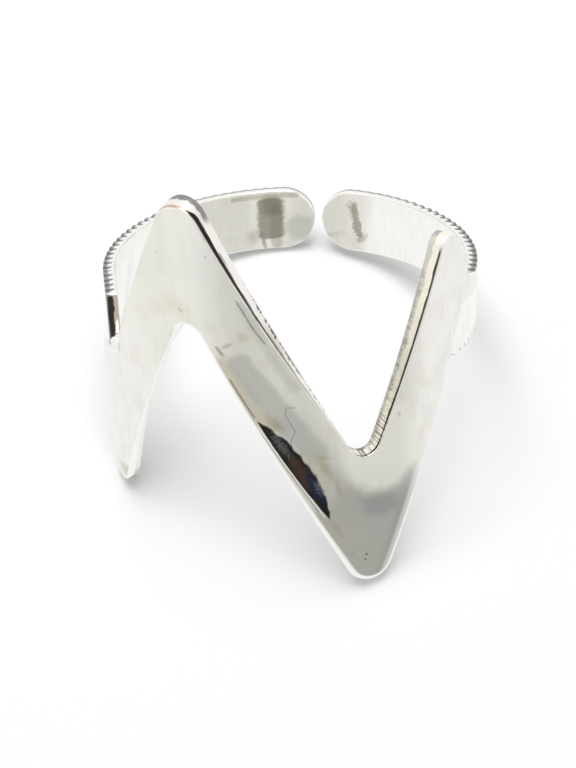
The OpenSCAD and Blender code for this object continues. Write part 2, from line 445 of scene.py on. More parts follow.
@dataclass
class Shell:
    """Faces of a sheet that are being gathered, with what each point carries for its finish."""

    sheet: Sheet
    points: list[np.ndarray] = field(default_factory=list)
    faces: list[tuple[int, ...]] = field(default_factory=list)
    count: int = 0

    def add_grid(self, places: np.ndarray, depths: np.ndarray, walls: np.ndarray,
                 sawn: np.ndarray, wrap: bool = False) -> None:
        """Add a grid of quads.

        Args:
            places: Flat places of shape (rows, columns, 2).
            depths: Depth of each, below the outer face.
            walls: How much each lies on a wall, from 0 to 1.
            sawn: How dark the wall's saw marks are at each.
            wrap: Whether the last column meets the first.
        """
        rows, columns = depths.shape
        self.points.append(np.concatenate([
            places.reshape(-1, 2), depths.reshape(-1, 1), walls.reshape(-1, 1), sawn.reshape(-1, 1),
        ], 1))
        last = columns if wrap else columns - 1
        for i in range(rows - 1):
            for j in range(last):
                k = (j + 1) % columns
                a, b = self.count + i * columns, self.count + (i + 1) * columns
                self.faces.append((a + j, a + k, b + k, b + j))
        self.count += rows * columns

    def object(self, name: str, lean: Lean) -> bpy.types.Object:
        """Bend the shell, lay it at rest and make it one object with its finish attributes.

        Args:
            name: Name of the piece.
            lean: How the ring rests.

        Returns:
            The object, at the origin with its place in its mesh.
        """
        data = np.concatenate(self.points)
        places, depths = data[:, :2], data[:, 2]
        upright = self.sheet.bend.upright(places[:, 0], places[:, 1], self.sheet.outer_r - depths)
        mesh = bpy.data.meshes.new(name)
        mesh.from_pydata(lean.place(upright).tolist(), [], self.faces)
        place = mesh.attributes.new("place", "FLOAT_VECTOR", "POINT")
        place.data.foreach_set("vector", np.column_stack([places, depths]).ravel())
        store(mesh, "wall", data[:, 3])
        store(mesh, "sawn", data[:, 4])
        close_mesh(mesh)
        return place_object(name, mesh)


def store(mesh: bpy.types.Mesh, label: str, values: np.ndarray) -> None:
    """Store a number at each of a mesh's points."""
    attribute = mesh.attributes.new(label, "FLOAT", "POINT")
    attribute.data.foreach_set("value", np.ascontiguousarray(values))


def place_object(name: str, data: bpy.types.ID) -> bpy.types.Object:
    """Make an object and link it to the scene.

    Args:
        name: Name of the object.
        data: Its mesh, lamp or camera.

    Returns:
        The object, at the origin.
    """
    made = bpy.data.objects.new(name, data)
    bpy.context.scene.collection.objects.link(made)
    return made


def close_mesh(mesh: bpy.types.Mesh) -> None:
    """Merge a mesh's doubles, drop faces without area, point its faces outwards and smooth it.

    Args:
        mesh: The mesh, changed in place.
    """
    work = bmesh.new()
    work.from_mesh(mesh)
    bmesh.ops.remove_doubles(work, verts=work.verts, dist=SAME_POINT)
    bmesh.ops.dissolve_degenerate(work, edges=work.edges, dist=NO_LENGTH)
    bmesh.ops.recalc_face_normals(work, faces=work.faces)
    work.to_mesh(mesh)
    work.free()
    mesh.polygons.foreach_set("use_smooth", [True] * len(mesh.polygons))


@dataclass
class LetterPlate:
    """The zigzag letter: a left leg, a diagonal and a right leg in one sawn and bent plate."""

    sizes: RingSizes
    foot_outer: Place = (-13.1, -9.0)
    foot_inner: Place = (-11.0, -8.9)
    hip: Place = (-14.1, -2.2)
    waist: Place = (-10.4, 0.1)
    peak: Place = (-5.6, 9.4)
    notch_under: Place = (-5.3, 3.0)
    notch_over: Place = (3.5, -5.9)
    toe: Place = (3.9, -14.2)
    head_inner: Place = (8.5, 5.9)
    head_outer: Place = (10.7, 3.3)
    leg_undercut: float = 0.75
    foot_undercut_share: float = 0.6
    waist_undercut_share: float = 0.55
    hip_side_share: float = 0.45
    waist_side_share: float = 0.75
    peak_burr: float = 0.35
    foot_r: float = 0.9
    hip_r: float = 1.0
    waist_r: float = 0.3
    tip_r: float = 1.35
    notch_r: float = 0.8
    head_inner_r: float = 0.7
    head_outer_r: float = 0.3
    soft: float = 0.1
    leg_soft: float = 0.15
    notch_soft: float = 0.2
    wall_soft: float = 0.06
    toe_soft: float = 0.42
    head_soft: float = 0.08
    head_sawn: float = 0.95

    def leg_side(self, share: float) -> Place:
        """Find a place a share of the way up the left leg's inner side."""
        a, b = self.foot_inner, self.notch_under
        return (a[0] + (b[0] - a[0]) * share, a[1] + (b[1] - a[1]) * share)

    def turns(self) -> list[Turn]:
        """List the turns of the letter's stroke.

        Returns:
            The turns from the foot to the head.
        """
        under = self.leg_undercut
        return [
            Turn(Edge(self.foot_outer, self.foot_r, self.leg_soft),
                 Edge(self.foot_inner, self.foot_r, self.leg_soft, (-under * self.foot_undercut_share, 0))),
            Turn(Edge(self.hip, self.hip_r, self.leg_soft),
                 Edge(self.leg_side(self.hip_side_share), 0, self.soft, (-under, 0))),
            Turn(Edge(self.waist, self.waist_r, self.soft),
                 Edge(self.leg_side(self.waist_side_share), 0, self.soft,
                      (-under * self.waist_undercut_share, 0))),
            Turn(Edge(self.peak, self.tip_r, self.soft, (0, self.peak_burr), sawn=1.0),
                 Edge(self.notch_under, self.notch_r, self.notch_soft)),
            Turn(Edge(self.notch_over, self.notch_r, self.wall_soft, sawn=1.0),
                 Edge(self.toe, self.tip_r, self.toe_soft)),
            Turn(Edge(self.head_inner, self.head_inner_r, self.head_soft, sawn=self.head_sawn),
                 Edge(self.head_outer, self.head_outer_r, self.head_soft)),
        ]

    def build(self, lean: Lean) -> bpy.types.Object:
        """Make the letter as one piece."""
        sheet = Sheet(self.turns(), Bend(self.sizes.plate_r), self.sizes.bore_r, self.sizes.plate_r)
        return sheet.build().object("letter_plate", lean)


@dataclass
class BandArm:
    """One arm of the open band, with a rounded back end and reeded edges."""

    sizes: RingSizes
    name: str
    turns: list[Turn]
    bend: Bend
    reeds_from: float
    reeds_to: float
    column: float = 0.06
    edge_reach: float = 0.1
    edge_fade: float = 0.35
    end_sawn: float = 0.0
    crisp_to: float = 19.5
    worn_from: float = 22.5
    worn_share: float = 0.25
    wear_share: float = 0.6
    smooth_front: Place = (11.0, 15.0)
    smooth_share: float = 0.3

    def build(self, lean: Lean, finish: bpy.types.Material) -> bpy.types.Object:
        """Make the arm as one piece, its edges reeded by the geometry tree.

        Args:
            lean: How the ring rests.
            finish: The arm's material.

        Returns:
            The arm.
        """
        sheet = Sheet(self.turns, self.bend, self.sizes.bore_r, self.sizes.band_r, step=self.column,
                      across=10, bevel_steps=4, end_sawn=self.end_sawn)
        arm = sheet.build().object(self.name, lean)
        self.mark_reeds(arm.data)
        return reed_edges(arm, self.sizes, lean, finish)

    def mark_reeds(self, mesh: bpy.types.Mesh) -> None:
        """Store how far along the reeding each point lies, and how much of a groove it takes.

        Args:
            mesh: The arm's mesh, which holds the place of each point.
        """
        place = np.empty(len(mesh.vertices) * 3)
        mesh.attributes["place"].data.foreach_get("vector", place)
        rounds, heights = place.reshape(-1, 3)[:, 0], place.reshape(-1, 3)[:, 1]
        run_start = self.bend.run_from
        ratio = self.sizes.band_r / self.bend.reference_r
        run = np.where(rounds > run_start, rounds - run_start, (rounds - self.reeds_from) * ratio)
        from_edge = self.sizes.band_w / 2 - np.abs(heights)
        share = np.clip((self.edge_reach + self.edge_fade - from_edge) / self.edge_fade, 0, 1)
        half = self.sizes.reed_pitch / 2
        inside = (rounds > self.reeds_from - half) & (rounds < self.reeds_to + half)
        worn = np.interp(np.abs(rounds), (self.crisp_to, self.worn_from), (1.0, self.worn_share))
        front = np.interp(np.abs(rounds), self.smooth_front, (self.smooth_share, 1.0))
        share = share * self.wear_share * worn * np.where(heights < 0, front, 1.0)
        store(mesh, "reed_run", run)
        store(mesh, "reed_side", share * inside * np.sign(heights))


def right_arm(sizes: RingSizes) -> BandArm:
    """Lay out the right arm, whose lower front corner lifts towards the letter's leg.

    Args:
        sizes: The ring's sizes.

    Returns:
        The arm.
    """
    half = sizes.band_w / 2
    front, back = math.radians(sizes.right_front_at) * sizes.bore_r, sizes.right_end
    return BandArm(
        sizes, "right_arm",
        [Turn(Edge((front, half), sizes.right_corner_r),
              Edge((front, -half), sizes.right_lift_r - sizes.right_lift_slack)),
         Turn(Edge((back, half), half), Edge((back, -half), half))],
        Bend(sizes.bore_r),
        math.radians(sizes.right_lift_at) * sizes.bore_r, back - half,
    )


def left_arm(sizes: RingSizes) -> BandArm:
    """Lay out the left arm, whose front runs straight on to a filed end beside the letter's leg.

    Args:
        sizes: The ring's sizes.

    Returns:
        The arm.
    """
    half = sizes.band_w / 2
    back, run = sizes.left_end, math.radians(sizes.left_run_at) * sizes.bore_r
    tip, longest = run + sizes.left_run, run + sizes.left_run + sizes.left_run_slant
    corner_r, soft = sizes.left_corner_r, sizes.left_soft
    cut_length, cut_height = sizes.left_filed
    low = longest - cut_length
    side = -half + cut_height * sizes.left_nose
    nose = longest - sizes.left_run_slant * (side + half) / sizes.band_w
    return BandArm(
        sizes, "left_arm",
        [Turn(Edge((back, half), half), Edge((back, -half), half)),
         Turn(Edge((low, half), 0), Edge((low, -half), corner_r, soft)),
         Turn(Edge((tip, half), corner_r, soft), Edge((nose, side), sizes.left_nose_r, soft))],
        Bend(sizes.bore_r, run),
        back + half, tip - sizes.reed_pitch, end_sawn=1.0,
    )


@dataclass
class Solder:
    """A run of solder between the letter and an arm, seen as a low rounded fillet."""

    name: str
    turns: list[Turn]
    top_r: float

    def build(self, sizes: RingSizes, lean: Lean) -> bpy.types.Object:
        """Make the solder as one piece."""
        sheet = Sheet(self.turns, Bend(sizes.plate_r), sizes.bore_r, self.top_r, step=0.15)
        return sheet.build().object(self.name, lean)


def head_solder(sizes: RingSizes) -> Solder:
    """Lay out the solder that runs from the letter's head down on to the band's upper edge.

    Args:
        sizes: The ring's sizes.

    Returns:
        The solder.
    """
    return Solder("head_solder", [
        Turn(Edge((9.6, 4.2), 0.15, 0.12), Edge((9.6, 0.9), 0.15, 0.12)),
        Turn(Edge((10.9, 2.35), 1.6, 0.14), Edge((11.0, 0.9), 0, 0.14)),
        Turn(Edge((12.9, 1.65), 0.2, 0.14), Edge((12.9, 0.9), 0.2, 0.14)),
    ], sizes.band_r + sizes.head_solder_proud)


def tip_solder(sizes: RingSizes) -> Solder:
    """Lay out the solder that closes the corner under the left arm's filed tip.

    Args:
        sizes: The ring's sizes.

    Returns:
        The solder.
    """
    return Solder("tip_solder", [
        Turn(Edge((-12.7, -1.0), 0.35, 0.24), Edge((-12.7, -1.9), 0.35, 0.24)),
        Turn(Edge((-10.4, -0.1), 0.4, 0.24), Edge((-10.4, -1.2), 0.4, 0.24)),
    ], sizes.plate_r + sizes.tip_solder_proud)


class Graph:
    """A node tree that is being wired, with short ways to add its nodes."""

    def __init__(self, tree: bpy.types.NodeTree) -> None:
        """Start on a tree, emptied."""
        self.tree = tree
        tree.nodes.clear()

    def node(self, kind: str, inputs: dict | None = None, **settings: object) -> bpy.types.Node:
        """Add a node.

        Args:
            kind: The node's type.
            inputs: What goes into its inputs by name or number, each a socket or a value.
            settings: Properties of the node.

        Returns:
            The node.
        """
        node = self.tree.nodes.new(kind)
        for key, value in settings.items():
            setattr(node, key, value)
        for key, value in (inputs or {}).items():
            self.feed(node.inputs[key], value)
        return node

    def feed(self, target: bpy.types.NodeSocket, value: object) -> None:
        """Link a socket into another, or set a plain value on it.

        Args:
            target: The input to feed.
            value: A socket, a number, a vector or the three values of a colour.
        """
        if isinstance(value, bpy.types.NodeSocket):
            self.tree.links.new(value, target)
        else:
            target.default_value = (*value, 1.0) if target.type == "RGBA" else value

    def math(self, operation: str, *values: object) -> bpy.types.NodeSocket:
        """Add a math node on one to three values and return its result."""
        return self.node("ShaderNodeMath", dict(enumerate(values)), operation=operation).outputs[0]

    def times(self, *values: object) -> bpy.types.NodeSocket:
        """Multiply values and return the product."""
        return reduce(partial(self.math, "MULTIPLY"), values)

    def plus(self, *values: object) -> bpy.types.NodeSocket:
        """Add values up and return the sum."""
        return reduce(partial(self.math, "ADD"), values)

    def minus(self, a: object, b: object) -> bpy.types.NodeSocket:
        """Take one value from another and return the difference."""
        return self.math("SUBTRACT", a, b)

    def larger(self, a: object, b: object) -> bpy.types.NodeSocket:
        """Return the larger of two values."""
        return self.math("MAXIMUM", a, b)

    def vector(self, operation: str, a: object, b: object) -> bpy.types.NodeSocket:
        """Add a vector math node and return its vector."""
        return self.node("ShaderNodeVectorMath", {0: a, 1: b}, operation=operation).outputs[0]

    def split(self, vector: object) -> bpy.types.NodeOutputs:
        """Split a vector into its three values."""
        return self.node("ShaderNodeSeparateXYZ", {0: vector}).outputs

    def spread(self, value: object, low: object, high: object, to_low: object = 0.0,
               to_high: object = 1.0) -> bpy.types.NodeSocket:
        """Map a range smoothly on to another and return the result."""
        inputs = dict(enumerate((value, low, high, to_low, to_high)))
        return self.node("ShaderNodeMapRange", inputs, interpolation_type="SMOOTHSTEP").outputs[0]

    def fade(self, value: object, low: object, high: object) -> bpy.types.NodeSocket:
        """Fall smoothly from 1 to 0 over a range and return the result."""
        return self.spread(value, low, high, 1.0, 0.0)

    def mix(self, share: object, a: object, b: object) -> bpy.types.NodeSocket:
        """Mix two colours and return the result."""
        inputs = {"Factor": share, 6: a, 7: b}
        return self.node("ShaderNodeMix", inputs, data_type="RGBA").outputs[2]

    def noise(self, vector: object, scale: object, detail: float) -> bpy.types.NodeSocket:
        """Add noise.

        Args:
            vector: Where it is read.
            scale: Its scale, or a tuple of its scale in each direction.
            detail: How many finer layers it has.

        Returns:
            Its value, between 0 and 1.
        """
        if isinstance(scale, tuple):
            vector, scale = self.vector("MULTIPLY", vector, scale), 1.0
        inputs = {"Vector": vector, "Scale": scale, "Detail": detail}
        return self.node("ShaderNodeTexNoise", inputs).outputs[0]

    def swing(self, noise: object, reach: object) -> bpy.types.NodeSocket:
        """Make noise swing round zero, by half its reach either way."""
        return self.times(self.minus(noise, NOISE_MIDDLE), reach)


class Group:
    """A shader node group with named inputs and outputs."""

    def __init__(self, name: str, inputs: dict[str, object], outputs: tuple[str, ...]) -> None:
        """Make the group's tree and its sockets.

        Args:
            name: Name of the group.
            inputs: Default of each input: a vector's is a tuple, a number's is a float.
            outputs: Names of its outputs, all numbers.
        """
        self.tree = bpy.data.node_groups.new(name, "ShaderNodeTree")
        for label, default in inputs.items():
            kind = "NodeSocketVector" if isinstance(default, tuple) else "NodeSocketFloat"
            socket = self.tree.interface.new_socket(label, in_out="INPUT", socket_type=kind)
            socket.default_value = default
        for label in outputs:
            self.tree.interface.new_socket(label, in_out="OUTPUT", socket_type="NodeSocketFloat")
        self.graph = Graph(self.tree)
        self.inside = self.graph.node("NodeGroupInput").outputs
        self.result = self.graph.node("NodeGroupOutput").inputs

    def give(self, outputs: dict[str, bpy.types.NodeSocket]) -> None:
        """Feed the group's outputs by name."""
        for label, value in outputs.items():
            self.graph.feed(self.result[label], value)

    def use(self, graph: Graph, inputs: dict[str, object]) -> bpy.types.NodeOutputs:
        """Place the group in a material, feed its inputs by name and return its outputs."""
        return graph.node("ShaderNodeGroup", inputs, node_tree=self.tree).outputs


def wear_group() -> Group:
    """Build the hand-finished silver's wear, read in millimetres along the sheet.

    Returns:
        The group.
    """
    group = Group(
        "silver_wear",
        {"Place": (0.0, 0.0, 0.0), "Cloud Scale": 0.35, "Cloud Rise": 3.0, "Brush Rise": 0.3,
         "Fine Scale": 9.0, "Fine Rise": 0.14},
        ("Cloud", "Streak", "Mottle", "Fine", "Height"),
    )
    g, inside = group.graph, group.inside
    place = inside["Place"]
    cloud = g.noise(place, inside["Cloud Scale"], detail=4.0)
    streak = g.noise(place, (5.0, 0.7, 1.0), detail=5.0)
    mottle = g.noise(place, (1.3, 0.8, 1.0), detail=7.0)
    fine = g.noise(place, inside["Fine Scale"], detail=4.0)
    height = g.plus(g.times(cloud, inside["Cloud Rise"]), g.times(streak, inside["Brush Rise"]),
                    g.times(fine, inside["Fine Rise"]))
    group.give({"Cloud": cloud, "Streak": streak, "Mottle": mottle, "Fine": fine, "Height": height})
    return group


def mark_group() -> Group:
    """Build the mask of one stain or painted reflection: an oval, a bar or a pointed lens, with a ragged
    edge.

    Returns:
        The group.
    """
    group = Group(
        "stain_mark",
        {"Place": (0.0, 0.0, 0.0), "Centre": (0.0, 0.0, 0.0), "Size": (1.0, 1.0, 1.0), "Angle": 0.0,
         "Run": 0.0, "Pointed": 0.0, "Flat": 1.0, "Softness": 0.3, "Ragged": 0.2, "Grain": 0.5},
        ("Mask",),
    )
    g, inside = group.graph, group.inside
    offset = g.vector("SUBTRACT", inside["Place"], inside["Centre"])
    turned = g.node("ShaderNodeVectorRotate", {"Vector": offset, "Angle": g.times(inside["Angle"], -1.0)},
                    rotation_type="Z_AXIS").outputs[0]
    way = g.split(turned)
    past_run = g.larger(g.minus(g.math("ABSOLUTE", way[0]), inside["Run"]), 0.0)
    shortened = g.node("ShaderNodeCombineXYZ", {0: past_run, 1: way[1], 2: way[2]}).outputs[0]
    sized = g.vector("DIVIDE", shortened, inside["Size"])
    oval = g.node("ShaderNodeVectorMath", {0: sized}, operation="LENGTH").outputs["Value"]
    # A lens lies between two arcs, and Flat draws the lower one in towards their chord
    along, across, down = g.split(sized)
    across = g.larger(across, g.times(across, -1.0, inside["Flat"]))
    lens = g.plus(across, g.times(along, along), g.times(down, down))
    reach = g.plus(g.times(lens, inside["Pointed"]), g.times(oval, g.minus(1.0, inside["Pointed"])),
                   g.swing(inside["Grain"], inside["Ragged"]))
    low, high = g.minus(1.0, inside["Softness"]), g.plus(1.0, inside["Softness"])
    group.give({"Mask": g.fade(reach, low, high)})
    return group


def sawn_group() -> Group:
    """Build the look of a sawn wall: a black line beside the face that is a painted dark reflection, bright
    metal with a painted glint, and torn saw marks.

    Returns:
        The group, whose masks are 0 where the wall isn't sawn.
    """
    group = Group(
        "sawn_wall",
        {"Place": (0.0, 0.0, 0.0), "Sawn": 0.0, "Thickness": 0.9, "Wander": 0.2, "Line From": 0.1,
         "Line Width": 0.07, "Strand Strength": 0.85, "Far Wander": 0.4, "Fray": 1.6, "Leg Tears": 0.35},
        ("Black", "Pale", "Glint", "Torn", "Far", "Ticks"),
    )
    g, inside = group.graph, group.inside
    place, width = inside["Place"], inside["Line Width"]
    rounds, heights, depths = g.split(place)
    share = g.math("DIVIDE", depths, inside["Thickness"])
    on_left = g.fade(rounds, *LEG_BEGINS)
    # The black line, a painted dark reflection, wanders, and leaves the face on its way up to the peak
    moved = g.plus(share, g.swing(g.noise(place, (0.9, 0.9, 0.2), detail=5.0), inside["Wander"]))
    climb = g.times(g.spread(heights, -1.0, 8.6, -0.01, 0.22), on_left, g.spread(rounds, -5.0, -4.4))
    reach = g.plus(climb, g.spread(on_left, 0.0, 1.0, 0.05, 0.0))
    past = g.minus(moved, g.plus(reach, inside["Line From"]))
    line = g.times(g.spread(share, 0.02, 0.06), g.fade(past, 0.0, width))
    # Dark strands run below it on the diagonal
    strands = g.spread(g.noise(place, (0.8, 0.8, 14.0), detail=4.0), 0.53, 0.6)
    strands = g.times(strands, g.fade(past, 0.1, 0.22), g.spread(heights, -2.0, 1.0), on_left)
    black = g.larger(line, g.times(strands, inside["Strand Strength"]))
    glint = g.times(g.spread(past, 0.03, 0.1), g.fade(past, 0.24, 0.4))
    far = g.plus(moved, g.swing(g.noise(place, 3.0, detail=5.0), inside["Far Wander"]))
    # The saw tore the back edge into teeth, and left ticks low on the right leg
    teeth = g.noise(place, (5.0, 5.0, 0.7), detail=5.0)
    frayed = g.spread(g.plus(share, g.swing(teeth, inside["Fray"])), 0.72, 0.84)
    torn = g.times(frayed, g.spread(on_left, 0.0, 1.0, inside["Leg Tears"], 1.0))
    ticks = g.spread(g.noise(place, (9.0, 9.0, 0.5), detail=3.0), 0.47, 0.57)
    ticks = g.times(ticks, g.fade(heights, -3.6, -1.0), g.spread(rounds, 2.6, 3.4))
    masks = {"Black": black, "Pale": g.spread(past, 0.0, width), "Glint": glint, "Torn": torn,
             "Far": g.spread(far, 0.55, 0.67), "Ticks": ticks}
    group.give({label: g.times(mask, inside["Sawn"]) for label, mask in masks.items()})
    return group


@dataclass(frozen=True)
class Groups:
    """The shader groups that the finishes share."""

    wear: Group
    mark: Group
    sawn: Group


@dataclass(frozen=True)
class Mark:
    """One stain or painted reflection on a sheet: where it lies, its half sizes in millimetres and its look.

    A bar runs on by `run` either way. `pointed` makes it a lens, and `flat` above 1 draws the lens's
    lower side in. `depth` and `through` say where it lies below the face and how far it goes down,
    and `pit` is how much it sinks in the bump.
    """

    at: Place
    size: Place
    angle: float = 0.0
    run: float = 0.0
    colour: Colour = (0.3, 0.28, 0.25)
    strength: float = 0.7
    softness: float = 0.3
    ragged: float = 0.4
    pointed: float = 0.0
    flat: float = 1.0
    depth: float = 0.0
    through: float = 0.3
    pit: float = 0.0

    @staticmethod
    def hair(points: tuple[Place, ...], width: float, colour: Colour, strength: float,
             **look: float) -> tuple["Mark", ...]:
        """Run a thin line through some places, as one bar for each stretch.

        Args:
            points: The places.
            width: Half its width.
            colour: Its colour.
            strength: How fully it covers.
            look: Other values of the bars.

        Returns:
            The bars.
        """
        bars = []
        for a, b in zip(points, points[1:]):
            middle = ((a[0] + b[0]) / 2, (a[1] + b[1]) / 2)
            angle = math.degrees(math.atan2(b[1] - a[1], b[0] - a[0]))
            half = math.dist(a, b) / 2
            bars.append(Mark(middle, (width, width), angle, half, colour, strength, **look))
        return tuple(bars)

    def mask(self, g: Graph, groups: Groups, place: bpy.types.NodeSocket,
             worn: bpy.types.NodeOutputs) -> bpy.types.NodeSocket:
        """Place the mark in a material.

        Args:
            g: The material's graph.
            groups: The shader groups.
            place: Where each point of the sheet lies.
            worn: The wear, whose noise makes the mark's edge ragged.

        Returns:
            The mark's mask.
        """
        grain = worn["Fine"] if min(self.size) < SMALL_MARK else worn["Mottle"]
        return groups.mark.use(g, {
            "Place": place, "Centre": (*self.at, self.depth), "Size": (*self.size, self.through),
            "Angle": math.radians(self.angle), "Run": self.run, "Pointed": self.pointed,
            "Flat": self.flat, "Softness": self.softness, "Ragged": self.ragged, "Grain": grain,
        })["Mask"]


@dataclass(frozen=True)
class SilverFinish:
    """How one piece of the silver is finished.

    Shares go from 0 to 1, and spans of depth are shares of the thickness. On a sawn wall the far edge
    is darker above the height `far_above`, or `far_above_right` on the right leg, torn teeth show
    below `torn_below`, and the black line, a painted dark reflection, is rusty up to the place `rust_to`
    round the ring. The glint beside it is a painted highlight, and so is the bright colour of the
    rounded edges beside the face.
    """

    name: str
    thickness: float
    marks: tuple[Mark, ...] = ()
    colour: Colour = (0.9, 0.895, 0.865)
    tarnish: Colour = (0.66, 0.61, 0.49)
    cool: Colour = (0.72, 0.735, 0.74)
    tarnish_share: float = 0.2
    cool_share: float = 0.3
    streak_share: float = 0.08
    # Colour of the black line on the sawn walls, a painted dark reflection
    dark: Colour = (0.03, 0.02, 0.018)
    sawn_left: Colour = (0.93, 0.9, 0.87)
    sawn_right: Colour = (1.0, 0.97, 0.88)
    far: Colour = (0.3, 0.285, 0.28)
    far_above: float = 7.0
    far_above_right: float = 5.0
    glint: Colour = (1.0, 0.96, 0.82)
    tick: Colour = (0.26, 0.24, 0.15)
    tick_share: float = 0.8
    far_right: Colour = (0.7, 0.7, 0.64)
    rust: Colour = (0.6, 0.36, 0.25)
    rust_to: float = -4.7
    rust_fade: float = 0.5
    torn: Colour = (0.2, 0.155, 0.135)
    torn_below: float = 4.5
    torn_fade: float = 1.5
    # Tarnish and painted shade in the reeds' grooves, and a painted dark reflection along the band's walls
    # next to the face
    shade_and_tarnish: Colour = (0.14, 0.16, 0.155)
    edge_dark_reflection: float = 0.0
    edge_depth: Span = (0.25, 0.6)
    groove_shade_and_tarnish: float = 0.92
    groove_span: Span = (0.03, 0.32)
    # Painted highlight: colour and spans of the bright rounded edges beside the face
    rim_highlight: Colour = (0.96, 0.955, 0.93)
    rim_highlight_wall: Span = (0.04, 0.3)
    rim_highlight_depth: Span = (0.45, 0.6)
    roughness: float = 0.16
    streak_rough: float = 0.1
    wall_rough: float = 0.1
    bump: float = 0.14
    bump_height: float = 1.2e-5

    def build(self, groups: Groups) -> bpy.types.Material:
        """Make the material.

        Args:
            groups: The shader groups that it is made of.

        Returns:
            The material.
        """
        material = bpy.data.materials.new(self.name)
        material.use_nodes = True
        g = Graph(material.node_tree)
        place = g.node("ShaderNodeAttribute", attribute_name="place").outputs["Vector"]
        wall, sawn, groove = (g.node("ShaderNodeAttribute", attribute_name=name).outputs["Fac"]
                              for name in ("wall", "sawn", "groove"))
        rounds, heights, depths = g.split(place)
        worn = groups.wear.use(g, {"Place": place})
        colour = self.colour
        for noise, low, high, share, over in (
            ("Mottle", 0.42, 0.7, self.tarnish_share, self.tarnish),
            ("Cloud", 0.5, 0.75, self.cool_share, self.cool),
            ("Streak", 0.42, 0.72, self.streak_share, self.tarnish),
        ):
            colour = g.mix(g.times(g.spread(worn[noise], low, high), share), colour, over)
        depth_share = g.math("DIVIDE", depths, self.thickness)
        # Painted highlight: the rounded edges beside the face are painted bright, and marks stay off them
        rim_highlight = g.times(g.spread(wall, *self.rim_highlight_wall), g.fade(depth_share, *self.rim_highlight_depth))
        colour = g.mix(rim_highlight, colour, self.rim_highlight)
        off_rim_highlight, height = g.minus(1.0, rim_highlight), worn["Height"]
        for mark in self.marks:
            mask = g.times(mark.mask(g, groups, place, worn), off_rim_highlight)
            colour = g.mix(g.times(mask, mark.strength), colour, mark.colour)
            if mark.pit:
                height = g.minus(height, g.times(mask, mark.pit))
        # The sawn walls, from bright metal to the black line, with a painted glint and a painted dark
        # reflection for the line
        side = groups.sawn.use(g, {"Place": place, "Sawn": sawn, "Thickness": self.thickness})
        to_right = g.spread(rounds, *LEG_BEGINS)
        above = g.minus(heights, g.spread(to_right, 0.0, 1.0, self.far_above, self.far_above_right))
        off_head = g.minus(1.0, g.times(to_right, g.spread(above, -HEAD_FADE, 0.0)))
        tearing = g.fade(heights, self.torn_below - self.torn_fade, self.torn_below)
        for mask, over in (
            (side["Pale"], g.mix(to_right, self.sawn_left, self.sawn_right)),
            (g.times(side["Glint"], to_right), self.glint),
            (g.times(side["Far"], to_right), self.far_right),
            (g.times(side["Ticks"], self.tick_share), self.tick),
            (g.times(g.spread(above, 0.0, HEAD_FADE), side["Far"]), self.far),
            (g.times(side["Torn"], tearing), self.torn),
            (g.times(side["Black"], off_head),
             g.mix(g.spread(rounds, self.rust_to - self.rust_fade, self.rust_to), self.rust, self.dark)),
        ):
            colour = g.mix(mask, colour, over)
        # Painted dark reflection along the walls next to the face
        if self.edge_dark_reflection:
            near_face = g.fade(depth_share, *self.edge_depth)
            edge = g.times(near_face, wall, self.edge_dark_reflection, g.minus(1.0, sawn))
            colour = g.mix(edge, colour, self.shade_and_tarnish)
        # Tarnish and painted shade darken the reeds' grooves
        colour = g.mix(g.spread(groove, *self.groove_span, 0.0, self.groove_shade_and_tarnish), colour, self.shade_and_tarnish)
        rough = g.plus(g.swing(worn["Streak"], self.streak_rough), self.roughness,
                       g.times(wall, self.wall_rough))
        bump = g.node("ShaderNodeBump",
                      {"Height": height, "Strength": self.bump, "Distance": self.bump_height})
        shader = g.node("ShaderNodeBsdfPrincipled", {
            "Base Color": colour, "Roughness": rough, "Metallic": 1.0, "Normal": bump.outputs[0],
        })
        g.node("ShaderNodeOutputMaterial", {"Surface": shader.outputs[0]})
        return material


